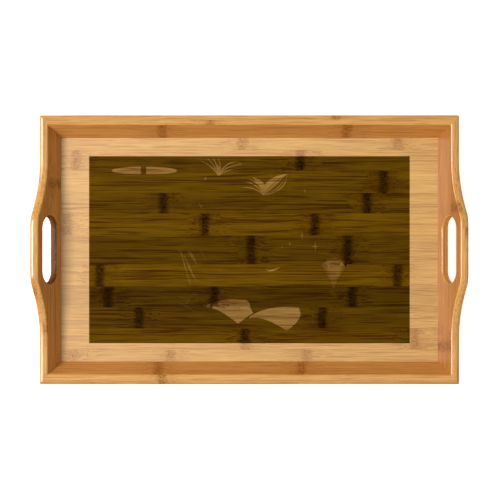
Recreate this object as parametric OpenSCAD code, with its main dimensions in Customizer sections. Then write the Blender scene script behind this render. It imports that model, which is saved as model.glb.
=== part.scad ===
// Serving tray of laminated bamboo: a floor of edge-glued strips in a groove, four flared
// boards of two plies each, mitred at the corners, and a hand slot in each end board.
// Frame: origin on the table under the middle of the tray, +X along it, +Z up.

/* [Floor] */
// Length of the floor between the end boards
floor_length = 429; // [350:1:500]
// Depth of the edge strip along the front board, groove included
front_strip = 15; // [12:1:24]
// Thickness of the floor strips
floor_thickness = 4; // [3:0.5:5]
// Height of the floor's top over the table
floor_top = 9; // [8:0.5:12]
// How far the floor runs into the boards at its top edge
groove_depth = 1.5; // [1:0.5:2]

/* [Boards] */
// Thickness of a long board, both plies
board_thickness = 10; // [9:0.5:12]
// Thickness of an end board, both plies
end_thickness = 8.2; // [7:0.2:12]
// Angle of the boards from upright
flare = 30; // [20:1:35]
// Height of the long boards' rim over the table
rim_height = 34.5; // [30:0.5:36]

/* [Handles] */
// Height of the handles over the table
handle_height = 52.5; // [51:0.5:60]
// Length of the straight top of a handle
handle_flat = 55.5; // [40:0.5:70]
// Steepest angle of the curve from handle to rim
ogee_angle = 24; // [20:1:25]
// Radius of the rounded shoulder of a handle
shoulder_radius = 34; // [30:1:36]
// Radius of the hollow curve that runs out into the rim
hollow_radius = 122; // [100:1:122]
// Length of a hand slot
slot_length = 76; // [70:1:84]
// Width of a hand slot, measured up the slope of the board
slot_width = 28.6; // [25:0.2:29]
// Middle of a hand slot over the floor, measured up the slope of the board
slot_centre = 23.9; // [23:0.1:25]

/* [Print] */
// Length of the printed panel on the floor
print_length = 365; // [300:1:390]
// Width of the printed panel on the floor
print_width = 213; // [160:1:226]
// Thickness of the ink and lacquer film
print_thickness = 0.15; // [0.1:0.05:0.3]

/* [Corner splines] */
// Length of a spline up the corner
spline_length = 20; // [14:1:24]
// Width of a spline across the mitre
spline_width = 8; // [6:0.5:9]
// Thickness of a spline
spline_thickness = 2; // [1.5:0.1:2.4]

/* [Hidden] */

$fn = 96;

// Widths of the floor strips from front to rear, as the bamboo was split
strip_widths = [front_strip, 24, 24, 24, 25, 33, 25, 23.5, 25.5, 23, 15.5];
// Places of the strips' front edges, and one more for the last rear edge
strip_edges = [for (i = [0:len(strip_widths)]) sum_to(i) - sum_to(len(strip_widths)) / 2];
// Width of the floor between the long boards
floor_width = sum_to(len(strip_widths)) - 2 * groove_depth;

// Where the boards' inner faces meet the top of the floor
floor_x = floor_length / 2;
floor_y = floor_width / 2;
// Width of a long board and of an end board on any level cut
level_width = board_thickness / cos(flare);
end_width = end_thickness / cos(flare);
// How far a board leans out for each millimetre of height
lean = tan(flare);

// Height that the ogee gives back between handle and rim, and its straight stretch
ogee_drop = handle_height - rim_height;
ogee_straight = (ogee_drop - (shoulder_radius + hollow_radius) * (1 - cos(ogee_angle))) / sin(ogee_angle);
ogee_end = handle_flat / 2 + (shoulder_radius + hollow_radius) * sin(ogee_angle)
         + ogee_straight * cos(ogee_angle);

// Longest stretch along a board, past the mitres
reach = 2 * (floor_x + handle_height);
// Angle of a corner's edge from upright
corner_lean = atan(sqrt(2) * lean);
// Direction of a mitre on the plan, and its angle from upright, as the boards differ in thickness
mitre_turn = atan2(level_width, end_width);
mitre_tilt = atan((sin(mitre_turn) - cos(mitre_turn)) * lean);
// Height of a spline's middle over the table, halfway up the long boards
spline_height = rim_height / 2;

function sum_to(n) = n == 0 ? 0 : strip_widths[n - 1] + sum_to(n - 1);

// Points on an arc from angle a to angle b
function arc(cx, cy, r, a, b, steps) =
    [for (i = [0:steps]) [cx + r * cos(a + (b - a) * i / steps), cy + r * sin(a + (b - a) * i / steps)]];

// Half of the top edge of an end board, from the end of the handle's flat down to the table
ogee = concat(
    arc(handle_flat / 2, handle_height - shoulder_radius, shoulder_radius, 90, 90 - ogee_angle, 8),
    arc(ogee_end, rim_height + hollow_radius, hollow_radius, 270 - ogee_angle, 270, 16),
    [[reach / 2, rim_height], [reach / 2, 0]]
);

// An end board seen square on, as a solid along the tray
module end_outline() {
    translate([floor_x - floor_top, 0, 0])
        rotate([90, 0, 90])
            linear_extrude(handle_height + board_thickness)
                polygon(concat(ogee, [for (i = [len(ogee) - 1:-1:0]) [-ogee[i][0], ogee[i][1]]]));
}

// Leaning slab along Y; from and to are measured level, outwards from where the board meets the floor
module slab(foot, from, to, top, along) {
    rotate([90, 0, 0])
        linear_extrude(along, center = true)
            polygon([
                [foot + from - floor_top * lean, 0],
                [foot + to - floor_top * lean, 0],
                [foot + to + (top - floor_top) * lean, top],
                [foot + from + (top - floor_top) * lean, top]
            ]);
}

// All that lies on the end board's side of a mitre at the +X end; side is 1 at the rear, -1 at the front
module end_side(side) {
    translate([floor_x, side * floor_y, floor_top])
        rotate([side * mitre_tilt, 0, side * mitre_turn])
            translate([-reach, side > 0 ? -2 * reach : 0, -reach])
                cube(2 * reach);
}

module groove() {
    translate([0, 0, floor_top - floor_thickness / 2])
        cube([2 * (floor_x + groove_depth), 2 * (floor_y + groove_depth), floor_thickness], center = true);
}

// Hand slot, cut square to the face of the board on the +X side
module hand_slot() {
    straight = slot_length - slot_width;
    translate([floor_x, 0, floor_top])
        rotate([0, flare, 0])
            translate([0, 0, slot_centre])
                rotate([0, 90, 0])
                    translate([0, 0, -10]) {
                        for (side = [-1, 1])
                            translate([0, side * straight / 2, 0])
                                cylinder(d = slot_width, h = end_thickness + 20);
                        translate([-slot_width / 2, -straight / 2, 0])
                            cube([slot_width, straight, end_thickness + 20]);
                    }
}

// Thin tongue across the mitre at one corner; the sides are 1 or -1
module spline(side_x, side_y) {
    rise = (spline_height - floor_top) * lean;
    middle_x = side_x * (floor_x + rise + end_width / 2);
    middle_y = side_y * (floor_y + rise + level_width / 2);
    translate([middle_x, middle_y, spline_height])
        rotate([0, 0, atan2(side_y, side_x)])
            rotate([0, corner_lean, 0])
                cube([spline_thickness, spline_width, spline_length], center = true);
}

module all_splines() {
    for (side_x = [-1, 1])
        for (side_y = [-1, 1])
            spline(side_x, side_y);
}

// One ply of the end board on the +X side
module end_ply(from, to) {
    difference() {
        intersection() {
            slab(floor_x, from, to, handle_height, reach);
            end_outline();
            end_side(1);
            end_side(-1);
        }
        hand_slot();
        groove();
        all_splines();
    }
}

// One ply of the long board on the +Y side
module side_ply(from, to) {
    difference() {
        rotate([0, 0, 90])
            slab(floor_y, from, to, rim_height, reach);
        end_side(1);
        rotate([0, 0, 180])
            end_side(-1);
        groove();
        all_splines();
    }
}

module floor_strip(number) {
    color("burlywood")
        translate([-floor_x - groove_depth, strip_edges[number - 1], floor_top - floor_thickness])
            cube([floor_length + 2 * groove_depth, strip_widths[number - 1], floor_thickness]);
}

module print_layer() {
    color("darkolivegreen")
        translate([-print_length / 2, -print_width / 2, floor_top])
            cube([print_length, print_width, print_thickness]);
}

module front_board_inner_ply() {
    color("peru")
        rotate([0, 0, 180])
            side_ply(0, level_width / 2);
}

module front_board_outer_ply() {
    color("tan")
        rotate([0, 0, 180])
            side_ply(level_width / 2, level_width);
}

module rear_board_inner_ply() {
    color("peru")
        side_ply(0, level_width / 2);
}

module rear_board_outer_ply() {
    color("tan")
        side_ply(level_width / 2, level_width);
}

module left_board_inner_ply() {
    color("sandybrown")
        rotate([0, 0, 180])
            end_ply(0, end_width / 2);
}

module left_board_outer_ply() {
    color("burlywood")
        rotate([0, 0, 180])
            end_ply(end_width / 2, end_width);
}

module right_board_inner_ply() {
    color("sandybrown")
        end_ply(0, end_width / 2);
}

module right_board_outer_ply() {
    color("burlywood")
        end_ply(end_width / 2, end_width);
}

module corner_spline(side_x, side_y) {
    color("saddlebrown")
        spline(side_x, side_y);
}

floor_strip(1);  // floor_strip_01
floor_strip(2);  // floor_strip_02
floor_strip(3);  // floor_strip_03
floor_strip(4);  // floor_strip_04
floor_strip(5);  // floor_strip_05
floor_strip(6);  // floor_strip_06
floor_strip(7);  // floor_strip_07
floor_strip(8);  // floor_strip_08
floor_strip(9);  // floor_strip_09
floor_strip(10);  // floor_strip_10
floor_strip(11);  // floor_strip_11
print_layer();
front_board_inner_ply();
front_board_outer_ply();
rear_board_inner_ply();
rear_board_outer_ply();
left_board_inner_ply();
left_board_outer_ply();
right_board_inner_ply();
right_board_outer_ply();
corner_spline(-1, -1);  // front_left_spline
corner_spline(1, -1);  // front_right_spline
corner_spline(-1, 1);  // rear_left_spline
corner_spline(1, 1);  // rear_right_spline
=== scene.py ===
"""A flared bamboo serving tray: strip floor, printed panel, four mitred boards and two hand slots."""
import math

import bmesh
import bpy
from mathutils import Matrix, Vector


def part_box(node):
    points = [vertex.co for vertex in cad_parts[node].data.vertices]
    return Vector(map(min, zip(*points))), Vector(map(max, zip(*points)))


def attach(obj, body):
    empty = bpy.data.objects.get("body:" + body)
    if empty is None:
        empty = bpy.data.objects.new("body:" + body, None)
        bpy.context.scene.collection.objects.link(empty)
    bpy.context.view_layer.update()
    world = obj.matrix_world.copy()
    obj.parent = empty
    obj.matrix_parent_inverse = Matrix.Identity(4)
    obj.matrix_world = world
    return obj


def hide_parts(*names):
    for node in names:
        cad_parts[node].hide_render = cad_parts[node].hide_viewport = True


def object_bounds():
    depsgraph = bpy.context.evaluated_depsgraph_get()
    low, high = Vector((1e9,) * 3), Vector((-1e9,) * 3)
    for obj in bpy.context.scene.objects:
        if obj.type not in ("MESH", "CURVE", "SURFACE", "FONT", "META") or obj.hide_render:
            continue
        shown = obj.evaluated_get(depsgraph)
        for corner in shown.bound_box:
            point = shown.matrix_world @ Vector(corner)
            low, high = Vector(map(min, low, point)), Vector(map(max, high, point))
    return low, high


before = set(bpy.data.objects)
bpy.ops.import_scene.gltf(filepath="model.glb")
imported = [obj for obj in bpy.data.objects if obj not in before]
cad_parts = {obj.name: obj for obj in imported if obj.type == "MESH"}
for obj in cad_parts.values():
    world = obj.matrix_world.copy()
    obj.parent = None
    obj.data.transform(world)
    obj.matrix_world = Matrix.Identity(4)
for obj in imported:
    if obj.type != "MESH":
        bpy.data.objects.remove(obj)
cad_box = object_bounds()

# ---------------------------------------------------------------- floor strips
# The floor is edge-glued from bamboo strips that run the long way of the tray. Each strip is sawn
# from its own culm, so each has its own tone and its own knuckles, the scars of the culm's joints.
# The panel is sanded flush, its strips barely eased at their edges, and lacquered satin.

FLOOR_STRIPS = [f"floor_strip_{number:02d}" for number in range(1, 12)]
STRIP_FRONTS = [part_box(name)[0].y for name in FLOOR_STRIPS]
EDGE_EASE = 0.00015

# From the front strip to the rear one: its tone, how pale the ink came out on it, and where its
# knuckles lie along the tray, in metres
STRIP_TONES = [0.96, 0.96, 0.945, 0.88, 0.98, 0.96, 1.04, 0.965, 1.055, 0.99, 1.02]
PRINT_TONES = [1.00, 1.05, 0.84, 0.70, 1.15, 0.84, 1.10, 0.92, 0.95, 0.89, 1.00]
OFF_THE_TRAY = 0.300
STRIP_KNUCKLES = [
    (-0.201, -0.090, 0.066),
    (-0.005, 0.188, OFF_THE_TRAY),
    (-0.126, 0.083, OFF_THE_TRAY),
    (-0.161, -0.040, 0.117),
    (-0.171, 0.169, OFF_THE_TRAY),
    (0.002, 0.112, OFF_THE_TRAY),
    (-0.051, 0.074, -0.208),
    (-0.098, 0.134, OFF_THE_TRAY),
    (0.153, OFF_THE_TRAY, OFF_THE_TRAY),
    (0.058, -0.197, OFF_THE_TRAY),
    (-0.009, 0.170, OFF_THE_TRAY),
]

# The wood's pattern, in metres. From its middle a knuckle is full up to the second value and gone at
# the first, and so is the darker wood around it; its sides are ragged, and fibres part around it.
KNUCKLE_SIDES = (0.0085, 0.0015)
HALO_SIDES = (0.0320, 0.0030)
RAGGEDNESS = 0.006
PARTING = 0.014
DRIFT = 0.004
# Where in the pattern the next strip, and the next lamella of a board, is cut from
STRIP_STEP = (3.7, 11.3, 5.1)
LAMELLA_STEP = 7.3
LAMELLA_TONE_SPREAD = 0.10
# How pale plain wood is between its dark and pale colours, and what a dark fibre and a halo take away
PLAIN_WOOD = 0.66
FIBRE_DEPTH = 0.72
HALO_DEPTH = 0.22
# Painted shade: the inner faces of the boards and the walls of the hand slots are made darker and
# warmer than the wood of the floor by this factor
PAINTED_WALL_SHADE = (1.0, 0.85, 0.66, 1)
SHARP_CORNER = math.radians(32)


def node(tree, kind, *inputs, **settings):
    """Adds a shader node, fills its inputs in order from sockets or values, gives its first output."""
    made = tree.nodes.new("ShaderNode" + kind)
    for name, value in settings.items():
        setattr(made, name, value)
    for socket, value in zip(made.inputs, inputs):
        if isinstance(value, bpy.types.NodeSocket):
            tree.links.new(value, socket)
        elif value is not None:
            socket.default_value = value
    return made.outputs[0]


def math_node(tree, operation, *inputs):
    return node(tree, "Math", *inputs, operation=operation)


def smooth_step(tree, value, nothing_at, full_at):
    """0 at the first limit and 1 at the second, with a soft ramp between."""
    return node(tree, "MapRange", value, nothing_at, full_at, 0.0, 1.0,
                interpolation_type="SMOOTHSTEP")


def mix_colours(tree, factor, first, second, blend_type="MIX"):
    mix = tree.nodes.new("ShaderNodeMix")
    mix.data_type = "RGBA"
    mix.blend_type = blend_type
    for name, value in (("Factor_Float", factor), ("A_Color", first), ("B_Color", second)):
        socket = next(s for s in mix.inputs if s.identifier == name)
        if isinstance(value, bpy.types.NodeSocket):
            tree.links.new(value, socket)
        else:
            socket.default_value = value
    return next(s for s in mix.outputs if s.identifier == "Result_Color")


def attribute(tree, name):
    """The node that reads what a mesh carries under this name, and the vector's three numbers."""
    source = tree.nodes.new("ShaderNodeAttribute")
    source.attribute_name = name
    split = tree.nodes.new("ShaderNodeSeparateXYZ")
    tree.links.new(source.outputs["Vector"], split.inputs[0])
    return source, split.outputs


def streaks(tree, place, shift, along, across, detail=2.0):
    """Noise whose cells are 1/along long and 1/across wide, in metres."""
    stretched = node(tree, "VectorMath", place, (along, across, across), operation="MULTIPLY")
    moved = node(tree, "VectorMath", stretched, shift, operation="ADD")
    scale, roughness = 1.0, 0.55
    return node(tree, "TexNoise", moved, None, scale, detail, roughness)


def off_middle(tree, pattern, gain):
    """The pattern's distance from its mean, times gain."""
    return math_node(tree, "MULTIPLY_ADD", pattern, gain, -0.5 * gain)


def bamboo(name, pale, dark, knuckle, ink=None, lamella=None, gloss=0.5, coat=0.6, coat_rough=0.2,
           fine=1.3, blotchy=0.8, scar_fill=0.36):
    """Lacquered bamboo whose pattern follows what the piece's mesh carries.

    The mesh carries "grain", a place along the fibres, across them and into the wood; "strip", which is
    a seed, a tone that on the boards holds painted light and shade, and how deep the ink is or how much
    painted shade the wood takes; and "knuckles", three places along it.
    pale, dark and knuckle are colours; ink is the filter colour of the print and that of its motifs;
    lamella is the width of the strips that a board is pressed from; gloss, coat and coat_rough are for
    the lacquer; fine and blotchy set how thin and how uneven the fibres are, scar_fill how solid the
    knuckles are."""
    material = bpy.data.materials.new(name)
    material.use_nodes = True
    tree = material.node_tree
    surface = tree.nodes["Principled BSDF"]

    grain, (along, across, _) = attribute(tree, "grain")
    grain = grain.outputs["Vector"]
    _, (seed, tone, ink_or_painted_shade) = attribute(tree, "strip")
    _, places = attribute(tree, "knuckles")

    # Lamellae of a pressed board: each one shifts the pattern and has its own tone
    if lamella:
        number = math_node(tree, "FLOOR", math_node(tree, "DIVIDE", across, lamella))
        seed = math_node(tree, "ADD", seed, math_node(tree, "MULTIPLY", number, LAMELLA_STEP))
        own_tone = node(tree, "TexWhiteNoise", None, seed, noise_dimensions="1D")
        tone = math_node(tree, "ADD", tone, off_middle(tree, own_tone, LAMELLA_TONE_SPREAD))
        upper = math_node(tree, "GREATER_THAN", number, 0.5)
    seeds = node(tree, "CombineXYZ", seed, seed, seed)
    shift = node(tree, "VectorMath", seeds, STRIP_STEP, operation="MULTIPLY")

    # How far the nearest knuckle is. The first knuckle of a board is on its upper lamella and the
    # others are on its lower one; elsewhere they are put a metre away.
    ragged = off_middle(tree, streaks(tree, grain, shift, along=20.0, across=140.0), RAGGEDNESS)
    nearest = None
    for index, place in enumerate(places):
        gap = math_node(tree, "SUBTRACT", math_node(tree, "ADD", along, ragged), place)
        gap = math_node(tree, "ABSOLUTE", gap)
        if lamella:
            missing = math_node(tree, "SUBTRACT", 1.0, upper) if index == 0 else upper
            gap = math_node(tree, "ADD", gap, missing)
        nearest = gap if nearest is None else math_node(tree, "MINIMUM", nearest, gap)

    # Knuckles: a column of thin dark loops on a darker ground
    band = smooth_step(tree, nearest, *KNUCKLE_SIDES)
    halo = smooth_step(tree, nearest, *HALO_SIDES)
    level = off_middle(tree, streaks(tree, grain, shift, along=190.0, across=360.0, detail=1.0), 1.0)
    loops = smooth_step(tree, math_node(tree, "ABSOLUTE", level), 0.095, 0.020)
    scar = math_node(tree, "MULTIPLY", band, math_node(tree, "MAXIMUM", loops, scar_fill))

    # Fibres: thin lines that part around a knuckle, on a fine and a broad unevenness
    swerve = off_middle(tree, streaks(tree, grain, shift, along=45.0, across=90.0, detail=1.0), PARTING)
    drift = off_middle(tree, streaks(tree, grain, shift, along=8.0, across=22.0, detail=1.0), DRIFT)
    sway = math_node(tree, "ADD", drift, math_node(tree, "MULTIPLY", halo, swerve))
    sideways = node(tree, "CombineXYZ", 0.0, sway, sway)
    bent = node(tree, "VectorMath", grain, sideways, operation="ADD")
    fibres = smooth_step(tree, streaks(tree, bent, shift, along=10.0, across=640.0 * fine), 0.47, 0.36)
    hairs = off_middle(tree, streaks(tree, bent, shift, along=35.0, across=1500.0), 1.7)
    bands = off_middle(tree, streaks(tree, bent, shift, along=6.0, across=140.0), blotchy)
    light = math_node(tree, "ADD", math_node(tree, "ADD", hairs, bands), PLAIN_WOOD)
    light = math_node(tree, "SUBTRACT", light, math_node(tree, "MULTIPLY", fibres, FIBRE_DEPTH))
    light = math_node(tree, "SUBTRACT", light, math_node(tree, "MULTIPLY", halo, HALO_DEPTH))
    streak = node(tree, "Clamp", light)

    # Darker wood is also redder, so a tone acts more on green, and most on blue. On the boards the tone
    # also carries each side's painted light and shade.
    colour = mix_colours(tree, streak, dark, pale)
    colour = mix_colours(tree, scar, colour, knuckle)
    tint = node(tree, "CombineColor", tone, math_node(tree, "POWER", tone, 1.25),
                math_node(tree, "POWER", tone, 1.5))
    colour = mix_colours(tree, 1.0, colour, tint, "MULTIPLY")
    # Painted shade: the inner faces and slot walls of the boards are made darker and warmer where the
    # strip's third value is 1
    if lamella:
        colour = mix_colours(tree, ink_or_painted_shade, colour, PAINTED_WALL_SHADE, "MULTIPLY")
    if ink:
        bare, _ = attribute(tree, "bare")
        veil = mix_colours(tree, bare.outputs["Fac"], *ink)
        colour = mix_colours(tree, 1.0, colour, veil, "MULTIPLY")
        evenness = node(tree, "CombineColor", ink_or_painted_shade, ink_or_painted_shade, ink_or_painted_shade)
        colour = mix_colours(tree, 1.0, colour, evenness, "MULTIPLY")
    tree.links.new(colour, surface.inputs["Base Color"])

    # Satin lacquer over open fibres
    roughness = node(tree, "MapRange", streak, 0.0, 1.0, 0.42, 0.38)
    tree.links.new(roughness, surface.inputs["Roughness"])
    surface.inputs["Specular IOR Level"].default_value = gloss
    surface.inputs["Coat Weight"].default_value = coat
    surface.inputs["Coat Roughness"].default_value = coat_rough
    bump = tree.nodes.new("ShaderNodeBump")
    bump.inputs["Strength"].default_value = 0.2
    bump.inputs["Distance"].default_value = 0.00015
    tree.links.new(math_node(tree, "SUBTRACT", streak, scar), bump.inputs["Height"])
    tree.links.new(bump.outputs[0], surface.inputs["Normal"])
    return material


def mark(mesh, name, value):
    """Stores a vector on every face corner; value gets the corner's point and the face's middle."""
    layer = mesh.attributes.new(name, "FLOAT_VECTOR", "CORNER")
    for face in mesh.polygons:
        for corner in face.loop_indices:
            point = mesh.vertices[mesh.loops[corner].vertex_index].co
            layer.data[corner].vector = value(point, face.center)


def strip_under(middle):
    """Number from 0 of the floor strip that lies under a point."""
    return max(index for index, front in enumerate(STRIP_FRONTS) if index == 0 or middle.y > front)


def lay_on_strips(mesh):
    """Gives a piece of the floor, or of what is printed on it, the pattern of the strips there."""
    seeds_and_tones = list(zip(range(1, 12), STRIP_TONES, PRINT_TONES))
    mark(mesh, "grain", lambda p, m: (p.x, p.y - STRIP_FRONTS[strip_under(m)], p.z))
    mark(mesh, "strip", lambda p, m: seeds_and_tones[strip_under(m)])
    mark(mesh, "knuckles", lambda p, m: STRIP_KNUCKLES[strip_under(m)])


def finish_piece(shape, name, material):
    """Turns a bmesh into a named object, smooth but for its sharp corners, that rides on the tray."""
    shape.normal_update()
    for face in shape.faces:
        face.smooth = True
    for edge in shape.edges:
        edge.smooth = edge.calc_face_angle(math.pi) < SHARP_CORNER
    mesh = bpy.data.meshes.new(name)
    shape.to_mesh(mesh)
    shape.free()
    mesh.materials.append(material)
    piece = bpy.data.objects.new(name, mesh)
    bpy.context.scene.collection.objects.link(piece)
    weighted = piece.modifiers.new("flat faces stay flat", "WEIGHTED_NORMAL")
    weighted.keep_sharp = True
    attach(piece, "root")
    return piece


floor_bamboo = bamboo("floor bamboo", pale=(0.755, 0.434, 0.108, 1), dark=(0.50, 0.222, 0.040, 1),
                      knuckle=(0.40, 0.145, 0.006, 1), gloss=0.6, coat=1.0, coat_rough=0.46)

for name in FLOOR_STRIPS:
    low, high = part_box(name)
    shape = bmesh.new()
    bmesh.ops.create_cube(shape, size=1.0)
    bmesh.ops.scale(shape, vec=high - low, verts=shape.verts)
    bmesh.ops.translate(shape, vec=(low + high) / 2, verts=shape.verts)
    long_edges = [e for e in shape.edges if abs(e.verts[0].co.x - e.verts[1].co.x) > EDGE_EASE]
    bmesh.ops.bevel(shape, geom=long_edges, offset=EDGE_EASE, offset_type="OFFSET", segments=2,
                    profile=0.5, affect="EDGES", material=-1)
    piece = finish_piece(shape, name.replace("floor_strip", "bamboo_strip"), floor_bamboo)
    lay_on_strips(piece.data)
    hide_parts(name)

# ---------------------------------------------------------------- printed panel
# A dark olive ink film, printed on the middle of the lacquered floor so thin that the grain and the
# knuckles of the strips show through. It is cut where the strips meet, so that each part follows the
# strip under it.

FILM_LOW, FILM_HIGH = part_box("print_layer")
PRINT_INK = (0.174, 0.150, 0.004, 1)
MOTIF_INK = (0.54, 0.53, 0.38, 1)

printed_bamboo = bamboo("printed bamboo", pale=(0.76, 0.44, 0.16, 1), dark=(0.30, 0.115, 0.02, 1),
                        knuckle=(0.06, 0.010, 0.003, 1), ink=(PRINT_INK, MOTIF_INK), gloss=0.01,
                        coat=0.01, coat_rough=0.46, fine=1.0, blotchy=1.5, scar_fill=0.62)

film_middle = (FILM_LOW + FILM_HIGH) / 2
film_thickness = FILM_HIGH.z - FILM_LOW.z
shape = bmesh.new()
bmesh.ops.create_grid(shape, x_segments=1, y_segments=1, size=0.5)
bmesh.ops.scale(shape, vec=FILM_HIGH - FILM_LOW, verts=shape.verts)
bmesh.ops.translate(shape, vec=(film_middle.x, film_middle.y, FILM_HIGH.z), verts=shape.verts)
for front in STRIP_FRONTS[1:]:
    bmesh.ops.bisect_plane(shape, geom=shape.verts[:] + shape.edges[:] + shape.faces[:],
                           plane_co=(0, front, 0), plane_no=(0, 1, 0))
thick = bmesh.ops.extrude_face_region(shape, geom=shape.faces[:])
lowered = [v for v in thick["geom"] if isinstance(v, bmesh.types.BMVert)]
bmesh.ops.translate(shape, vec=(0, 0, -film_thickness), verts=lowered)
bmesh.ops.recalc_face_normals(shape, faces=shape.faces)
film = finish_piece(shape, "print_film", printed_bamboo)
lay_on_strips(film.data)
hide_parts("print_layer")

# ---------------------------------------------------------------- printed motifs
# Plain leaves, grass blades and small sparkles where the printer left most of the ink out, so that
# the bamboo shows paler. Each is a film of its own, a hair higher than the one before.

UP = Vector((0, 0, 1))
MM = 0.001
MOTIF_RISE = 0.00003
MOTIF_STEP = 0.000003
SPARKLE_WIDTH = 1.1
NARROWEST = 0.06  # of a blade's width, at its tips

# Blades: start, control point and end in millimetres on the floor, width, and how bare they are
BLADES = [
    ((-35, 84), (-43, 97), (-57, 102), 1.2, 0.75), ((-35, 84), (-40, 98), (-49, 105), 1.2, 0.7),
    ((-35, 84), (-36, 96), (-42, 105), 1.6, 0.75), ((-35, 84), (-31, 95), (-36, 105), 1.4, 0.7),
    ((-35, 84), (-33, 93), (-38, 99), 2.4, 0.55), ((-35, 84), (-27, 102), (-11, 100), 1.2, 0.8),
    ((-35, 84), (-27, 97), (-7, 97), 1.2, 0.75), ((-35, 84), (-27, 92), (-6, 93), 1.0, 0.65),
    ((-24, 94), (-15, 95), (-9, 99), 1.0, 0.6),
    ((16, 62), (18, 75), (4, 82), 6.5, 0.75), ((16, 62), (14, 77), (-2, 81), 2.2, 0.75),
    ((16, 62), (8, 77), (-6, 77), 1.2, 0.8), ((16, 62), (7, 72), (-9, 71), 1.2, 0.8),
    ((16, 62), (18, 79), (43, 86), 6.0, 0.75), ((16, 62), (28, 74), (41, 85), 3.0, 0.5),
    ((16, 62), (42, 66), (43, 86), 1.1, 0.8), ((16, 62), (34, 68), (40, 80), 1.0, 0.6),
    ((-78, 0), (-75, -16), (-66, -43), 1.4, 0.35), ((-75, -6), (-68, -20), (-59, -38), 1.4, 0.35),
    ((-70, -1), (-65, -6), (-60, -17), 3.6, 0.28), ((-72, -12), (-66, -26), (-62, -34), 2.2, 0.3),
    ((-56, 0), (-53, -6), (-48, -13), 1.2, 0.2), ((-82, 1), (-78, -3), (-76, -10), 1.2, 0.25),
    ((-82, -52), (-74, -57), (-62, -54), 1.6, 0.2), ((-80, -60), (-71, -66), (-62, -70), 1.8, 0.25),
    ((-76, -66), (-70, -60), (-66, -52), 1.4, 0.2),
    ((-58, 54), (-56, 50), (-55, 48), 1.0, 0.5), ((-55, 48), (-54, 50), (-53, 52), 1.0, 0.5),
    ((20, -24), (27, -24), (35, -20), 1.9, 0.7), ((19, -22), (20, -22), (21, -22), 1.2, 0.5),
]
# Long leaves, described in the same way, but blunt at their start
BLUNT_LEAVES = [
    ((-123.5, 90.3), (-139, 90.3), (-157, 90.0), 8.6, 0.95),
    ((-117.5, 90.3), (-100, 90.3), (-82, 90.0), 8.6, 0.95),
]
# Four-pointed sparkles: middle, half height and how bare
SPARKLES = [
    ((-50, 81), 2.6, 0.6), ((63, 67), 2.2, 0.4), ((60, 16), 4.6, 0.5), ((75, 3.5), 6.2, 0.6),
    ((46, 7), 2.6, 0.35), ((82, 98), 2.0, 0.4), ((37, 3), 1.4, 0.4),
]
# Fan leaves: stalk, points along the fan's edge, upward sweep, how bare in the middle and at the edge
FAN_LEAVES = [
    ((-53, -66.2),
     ((-3.5, -57.5), (0.5, -61), (1, -66), (4.2, -72), (-4, -77.5), (-12.8, -84.2)),
     5.0, 1.0, 1.0),
    ((-5, -80),
     ((56.2, -65.5), (58.5, -73), (56.5, -79), (52.3, -84.4), (47.5, -88.5), (42.6, -92.2)),
     6.5, 0.95, 0.95),
    ((96, -46), ((80, -15), (88, -10), (97, -8), (105, -10), (111, -17)), 0.0, 0.5, 0.0),
]


def in_metres(point):
    """The vector of a point on the floor that is given in millimetres."""
    return Vector((*point, 0)) * MM


def curve_point(start, control, end, t):
    """Point and direction on a curve with one control point, in metres."""
    start, control, end = in_metres(start), in_metres(control), in_metres(end)
    place = start * (1 - t) ** 2 + control * 2 * t * (1 - t) + end * t ** 2
    heading = (control - start) * (1 - t) + (end - control) * t
    return place, heading.normalized()


def film_patch(shape, rows, bareness, height):
    """Joins rows of points into a thin patch; bareness gives a value for each point of a row."""
    layer = shape.verts.layers.float["bare"]
    made = []
    for row, values in zip(rows, bareness):
        line = [shape.verts.new((p.x, p.y, height)) for p in row]
        for vert, value in zip(line, values):
            vert[layer] = value
        made.append(line)
    faces = []
    for near, far in zip(made, made[1:]):
        for i in range(len(near) - 1):
            faces.append(shape.faces.new((near[i], near[i + 1], far[i + 1], far[i])))
    thick = bmesh.ops.extrude_face_region(shape, geom=faces)
    lowered = [v for v in thick["geom"] if isinstance(v, bmesh.types.BMVert)]
    bmesh.ops.translate(shape, vec=(0, 0, -MOTIF_RISE), verts=lowered)


def blade(shape, start, control, end, width, bare, height, blunt=False):
    """A blade that swells between its ends, or one that starts at full width."""
    rows, values = [], []
    steps = 14
    for i in range(steps + 1):
        t = i / steps
        place, heading = curve_point(start, control, end, t)
        swell = math.sqrt(max(0.0, 1 - t ** 2.2)) if blunt else math.sin(math.pi * t ** 0.8) ** 0.7
        half = UP.cross(heading) * (width * MM / 2 * max(swell, NARROWEST))
        rows.append([place - half, place, place + half])
        values.append([bare * 0.85, bare, bare * 0.85])
    film_patch(shape, rows, values, height)


def fan_leaf(shape, stalk, edge, sweep, bare, edge_bare, height):
    """A fan-shaped leaf that spreads from its stalk; where its edges differ, they fade in."""
    stalk = in_metres(stalk)
    inward = [min(k, len(edge) - 1 - k, 1) for k in range(len(edge))]
    rows, values = [], []
    steps = 12
    for i in range(1, steps + 1):
        t = i / steps
        rise = in_metres((0, sweep * math.sin(math.pi * t ** 0.8)))
        rows.append([stalk.lerp(in_metres(point), t) + rise for point in edge])
        fade = min(1.0, 1.5 * t) if i < steps else 0.0
        values.append([edge_bare + (bare - edge_bare) * k * fade for k in inward])
    film_patch(shape, rows, values, height)


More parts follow.
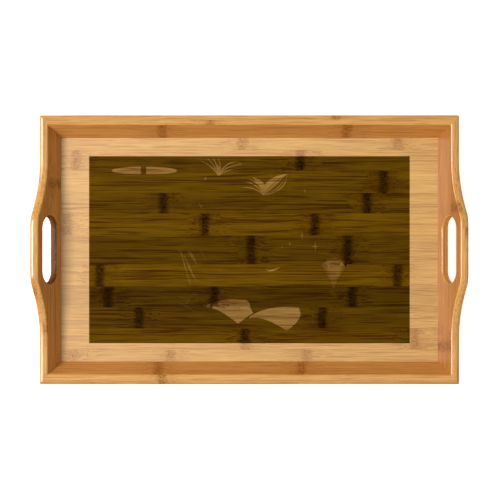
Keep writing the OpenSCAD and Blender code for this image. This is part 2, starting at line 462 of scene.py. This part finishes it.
shape = bmesh.new()
shape.verts.layers.float.new("bare")
height = FILM_HIGH.z + MOTIF_RISE
for drawn in BLADES:
    blade(shape, *drawn, height)
    height += MOTIF_STEP
for drawn in BLUNT_LEAVES:
    blade(shape, *drawn, height, blunt=True)
for (x, y), reach, bare in SPARKLES:
    for dx, dy in ((0, reach), (0.6 * reach, 0)):
        blade(shape, (x - dx, y - dy), (x, y), (x + dx, y + dy), SPARKLE_WIDTH, bare, height)
        height += MOTIF_STEP
for drawn in FAN_LEAVES:
    fan_leaf(shape, *drawn, height)
    height += MOTIF_STEP
bmesh.ops.recalc_face_normals(shape, faces=shape.faces)
motifs = finish_piece(shape, "print_motifs", printed_bamboo)
lay_on_strips(motifs.data)
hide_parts("print_layer")

# ---------------------------------------------------------------- boards
# Each board is pressed from two bamboo plies, sawn to a bevel, mitred and glued. The rim is rounded
# over with a router, softly inside and more outside, and so are both mouths of the hand slots. The
# inner faces and slot walls carry painted shade, darker and warmer than the rims, and each side is made
# lighter or darker as painted light and shade.

LEAN = math.radians(30)
THICKNESS = {"front": 0.0100, "rear": 0.0100, "left": 0.0082, "right": 0.0082}
# Shares of the thickness: roundings of the rim, and where its outer half is cut so that it can curve
RIM_OUTER_ROUND = 0.20
RIM_INNER_ROUND = 0.19
RIM_CUTS = (0.61, 0.72)
# How far the rim falls from its middle to its outer edge, in metres
RIM_FALL = 0.0023
SLOT_INNER_ROUND = 0.0022
SLOT_OUTER_ROUND = 0.0011
FOOT_ROUND = 0.0006
CORNER_RADIUS = 0.0022
SIDES = {"right": Vector((1, 0, 0)), "rear": Vector((0, 1, 0)),
         "left": Vector((-1, 0, 0)), "front": Vector((0, -1, 0))}
FLOOR_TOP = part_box(FLOOR_STRIPS[0])[1].z

# Knuckles of each ply, along it: one on its upper strip and two on its lower one
PLY_KNUCKLES = {
    "rear_board_inner_ply": (-0.044, 0.111, -0.099),
    "rear_board_outer_ply": (0.099, -0.160, 0.070),
    "front_board_inner_ply": (-0.099, 0.059, -0.103),
    "front_board_outer_ply": (-0.099, -0.060, 0.150),
    "right_board_inner_ply": (0.048, -0.110, OFF_THE_TRAY),
    "right_board_outer_ply": (0.021, -0.080, 0.060),
    "left_board_inner_ply": (-0.090, 0.075, OFF_THE_TRAY),
    "left_board_outer_ply": (-0.048, 0.095, -0.070),
}
FIRST_PLY_SEED = 20

# Painted light and shade, as tones of the inner face and of the rim of each board and of the wall of
# each hand slot: each side is made lighter or darker to stand in for how the light falls on it, and the
# wall of the left hand slot is darkened as a painted shadow
WALL_PAINTED_LIGHT_AND_SHADE = {"left": 1.04, "right": 0.70, "front": 0.96, "rear": 1.01}
RIM_PAINTED_LIGHT_AND_SHADE = {"left": 1.0, "right": 1.09, "front": 1.0, "rear": 0.99}
SLOT_PAINTED_LIGHT_AND_SHADE = {"left": 0.38, "right": 1.06}
# A hand slot with its rounded mouths: half its length, and from where to where up the inner face
SLOT_REACH = 0.0395
SLOT_SPAN = (0.009, 0.041)


def face_of(out):
    """Outward normal of the outer face of the board on one side."""
    return out * math.cos(LEAN) - UP * math.sin(LEAN)


def is_top(face, out):
    return face.normal.z > 0.7 and abs(face.normal.dot(out)) < 0.1


def is_foot(face):
    return face.normal.z < -0.99 and face.calc_center_median().z < 0.001


def is_outer(face, out):
    return face.normal.dot(face_of(out)) > 0.9


def is_inner(face, out):
    return face.normal.dot(face_of(out)) < -0.9


def is_slot_wall(face, out):
    """Whether a face is square to an end board and near its middle; only end boards have a slot."""
    beside = face.calc_center_median().dot(UP.cross(out))
    return out.x != 0 and abs(face.normal.dot(face_of(out))) < 0.05 and abs(beside) < 0.045


def round_edges(shape, test, amount, segments):
    """Rounds every edge whose two faces pass the test, in either order."""
    edges = [e for e in shape.edges if len(e.link_faces) == 2
             and (test(*e.link_faces) or test(*reversed(e.link_faces)))]
    made = bmesh.ops.bevel(shape, geom=edges, offset=amount, offset_type="OFFSET",
                           segments=segments, profile=0.5, affect="EDGES", material=-1)
    shape.normal_update()
    return made["verts"]


def round_corner(shape, out, beside):
    """Rounds this board's half of the upright outer corner that it makes with the one beside it."""
    corner = max(shape.verts, key=lambda v: v.co.dot(out + beside)).co.copy()
    own, other = face_of(out), face_of(beside)
    axis = corner - (own + other) * CORNER_RADIUS / (1 + own.dot(other))
    for turn in (0.25, 0.5):
        facing = own.slerp(other, turn).normalized()
        cut = bmesh.ops.bisect_plane(shape, geom=shape.verts[:] + shape.edges[:] + shape.faces[:],
                                     plane_co=axis + facing * CORNER_RADIUS, plane_no=facing,
                                     clear_outer=True, dist=1e-7)
        rim = [e for e in cut["geom_cut"] if isinstance(e, bmesh.types.BMEdge)]
        bmesh.ops.edgeloop_fill(shape, edges=rim)
        shape.normal_update()


def work_outer_ply(shape, out, run, foot, thickness):
    """Rounds an outer ply: its corners, the rim, which also falls outward, its slot and its foot."""
    for beside in (run, -run):
        round_corner(shape, out, beside)
    rounded = round_edges(shape, lambda a, b: is_top(a, out) and b.normal.dot(out) > 0.2
                          and not is_slot_wall(b, out), RIM_OUTER_ROUND * thickness, 5)
    for share in RIM_CUTS:
        bmesh.ops.bisect_plane(shape, geom=shape.verts[:] + shape.edges[:] + shape.faces[:],
                               plane_co=foot + face_of(out) * thickness * share,
                               plane_no=face_of(out))
    shape.normal_update()
    rim = {v for f in shape.faces if is_top(f, out) for v in f.verts} | set(rounded)
    for vert in rim:
        outward = 2 * (vert.co - foot).dot(face_of(out)) / thickness - 1
        vert.co.z -= RIM_FALL * outward ** 2
    round_edges(shape, lambda a, b: is_slot_wall(a, out) and is_outer(b, out), SLOT_OUTER_ROUND, 3)
    round_edges(shape, lambda a, b: is_foot(a) and is_outer(b, out), FOOT_ROUND, 2)


def work_inner_ply(shape, out, thickness):
    """Rounds an inner ply at the rim, the mouth of its slot and its foot."""
    round_edges(shape, lambda a, b: is_top(a, out) and is_inner(b, out),
                RIM_INNER_ROUND * thickness, 4)
    round_edges(shape, lambda a, b: is_slot_wall(a, out) and is_inner(b, out), SLOT_INNER_ROUND, 4)
    round_edges(shape, lambda a, b: is_foot(a) and is_inner(b, out), FOOT_ROUND, 2)


def on_board(point, out, run, foot):
    """How far a point is along a board, up its inner face from the floor, and in front of that face."""
    slope = out * math.sin(LEAN) + UP * math.cos(LEAN)
    return point.dot(run), (point - foot).dot(slope), (point - foot).dot(-face_of(out))


def tone_and_painted_shade(side, along, height, in_front):
    """Painted light and shade: the tone of each side, and painted warm shade on the inner face and the
    wall of the hand slot but not on the rim and the outer face.
    """
    if in_front > -0.0002:
        return WALL_PAINTED_LIGHT_AND_SHADE[side], 1.0
    if side in SLOT_PAINTED_LIGHT_AND_SHADE and abs(along) < SLOT_REACH and SLOT_SPAN[0] < height < SLOT_SPAN[1]:
        return SLOT_PAINTED_LIGHT_AND_SHADE[side], 1.0
    return RIM_PAINTED_LIGHT_AND_SHADE[side], 0.0


board_bamboo = bamboo("board bamboo", pale=(0.74, 0.390, 0.118, 1), dark=(0.48, 0.205, 0.046, 1),
                      knuckle=(0.30, 0.105, 0.010, 1), lamella=0.0286, gloss=0.1, coat=0.55,
                      coat_rough=0.26)

for number, (ply, knuckles) in enumerate(PLY_KNUCKLES.items()):
    side = ply.split("_")[0]
    out = SIDES[side]
    run = Vector((abs(out.y), abs(out.x), 0))
    thickness = THICKNESS[side]
    low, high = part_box(f"{side}_board_outer_ply")
    reach = max(abs(low.dot(out)), abs(high.dot(out)))
    overhang = (high.z - FLOOR_TOP) * math.tan(LEAN) + thickness / math.cos(LEAN)
    foot = UP * FLOOR_TOP + out * (reach - overhang)
    shape = bmesh.new()
    shape.from_mesh(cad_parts[ply].data)
    bmesh.ops.remove_doubles(shape, verts=shape.verts, dist=1e-6)
    bmesh.ops.dissolve_limit(shape, angle_limit=math.radians(0.5), verts=shape.verts,
                             edges=shape.edges)
    shape.normal_update()
    if "outer" in ply:
        work_outer_ply(shape, out, run, foot, thickness)
    else:
        work_inner_ply(shape, out, thickness)
    piece = finish_piece(shape, ply.replace("board", "rim"), board_bamboo)
    mark(piece.data, "grain", lambda p, m: on_board(p, out, run, foot))
    # Each face gets its seed, its side's tone, which is painted light and shade, and whether it takes
    # the painted wall shade
    mark(piece.data, "strip", lambda p, m: (FIRST_PLY_SEED + number,
                                            *tone_and_painted_shade(side, *on_board(m, out, run, foot))))
    mark(piece.data, "knuckles", lambda p, m: knuckles)
    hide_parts(ply)

# ---------------------------------------------------------------- corner splines
# Thin hardwood tongues, glued into slots across the mitres. They are sealed in and never seen.

spline_wood = bpy.data.materials.new("spline wood")
spline_wood.use_nodes = True
tree = spline_wood.node_tree
surface = tree.nodes["Principled BSDF"]
place = tree.nodes.new("ShaderNodeTexCoord").outputs["Object"]
stripes = streaks(tree, place, (0, 0, 0), along=900.0, across=60.0)
colour = mix_colours(tree, stripes, (0.26, 0.13, 0.05, 1), (0.42, 0.24, 0.11, 1))
tree.links.new(colour, surface.inputs["Base Color"])
surface.inputs["Roughness"].default_value = 0.6
for name in ("front_left_spline", "front_right_spline", "rear_left_spline", "rear_right_spline"):
    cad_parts[name].data.materials.clear()
    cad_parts[name].data.materials.append(spline_wood)

# ---------------------------------------------------------------- studio
# A pale table that runs on as the backdrop, a large soft window light on the left, a weak softbox
# overhead, a low one on the left that only the lacquer mirrors, and a long lens looking straight down.

bpy.context.scene.view_settings.view_transform = "Standard"

TABLE_SIZE = 4.0
TABLE_DROP = 0.0004
table = bpy.data.materials.new("pale table")
table.use_nodes = True
tree = table.node_tree
surface = tree.nodes["Principled BSDF"]
surface.inputs["Base Color"].default_value = (0.9, 0.9, 0.9, 1)
surface.inputs["Roughness"].default_value = 0.9
surface.inputs["Emission Color"].default_value = (1, 1, 1, 1)
surface.inputs["Emission Strength"].default_value = 0.72
# The table is seen only from above, so that the underside of the tray can be looked at from below
from_below = tree.nodes.new("ShaderNodeNewGeometry").outputs["Backfacing"]
clear = node(tree, "BsdfTransparent")
one_sided = node(tree, "MixShader", from_below, surface.outputs[0], clear)
tree.links.new(one_sided, tree.nodes["Material Output"].inputs["Surface"])
shape = bmesh.new()
bmesh.ops.create_grid(shape, x_segments=1, y_segments=1, size=TABLE_SIZE)
bmesh.ops.translate(shape, vec=(0, 0, -TABLE_DROP), verts=shape.verts)
mesh = bpy.data.meshes.new("table")
shape.to_mesh(mesh)
shape.free()
mesh.materials.append(table)
table_top = bpy.data.objects.new("table", mesh)
bpy.context.scene.collection.objects.link(table_top)
table_top.visible_glossy = False

world = bpy.data.worlds.new("studio")
world.use_nodes = True
background = world.node_tree.nodes["Background"]
background.inputs["Color"].default_value = (1.0, 0.98, 0.95, 1)
background.inputs["Strength"].default_value = 0.34
world.cycles_visibility.glossy = False
bpy.context.scene.world = world


def soft_light(name, place, width, length, power, in_gloss=True, in_diffuse=True):
    """A softbox that faces the tray."""
    data = bpy.data.lights.new(name, "AREA")
    data.shape = "RECTANGLE"
    data.size = width
    data.size_y = length
    data.energy = power
    light = bpy.data.objects.new(name, data)
    light.location = place
    light.rotation_euler = (-Vector(place)).to_track_quat("-Z", "Y").to_euler()
    light.visible_camera = False
    light.visible_glossy = in_gloss
    light.visible_diffuse = in_diffuse
    bpy.context.scene.collection.objects.link(light)


soft_light("window", (-2.37, 0.04, 2.91), width=0.90, length=0.90, power=130)
soft_light("overhead", (0.05, -0.12, 2.2), width=0.90, length=0.90, power=4, in_gloss=False)
soft_light("sheen", (-0.75, 0.12, 0.75), width=0.60, length=0.25, power=10, in_diffuse=False)

CAMERA_HEIGHT = 8.0
CAMERA_OFF_MIDDLE = (0.0007, -0.0003)
FRAME_TO_LENGTH = 1.1367
camera_data = bpy.data.cameras.new("camera")
camera = bpy.data.objects.new("camera", camera_data)
view_width = (cad_box[1][0] - cad_box[0][0]) * FRAME_TO_LENGTH
camera_data.sensor_width = 36.0
camera_data.lens = camera_data.sensor_width * (CAMERA_HEIGHT - cad_box[1][2]) / view_width
camera_data.clip_end = 50.0
camera.location = (*CAMERA_OFF_MIDDLE, CAMERA_HEIGHT)
bpy.context.scene.collection.objects.link(camera)
bpy.context.scene.camera = camera
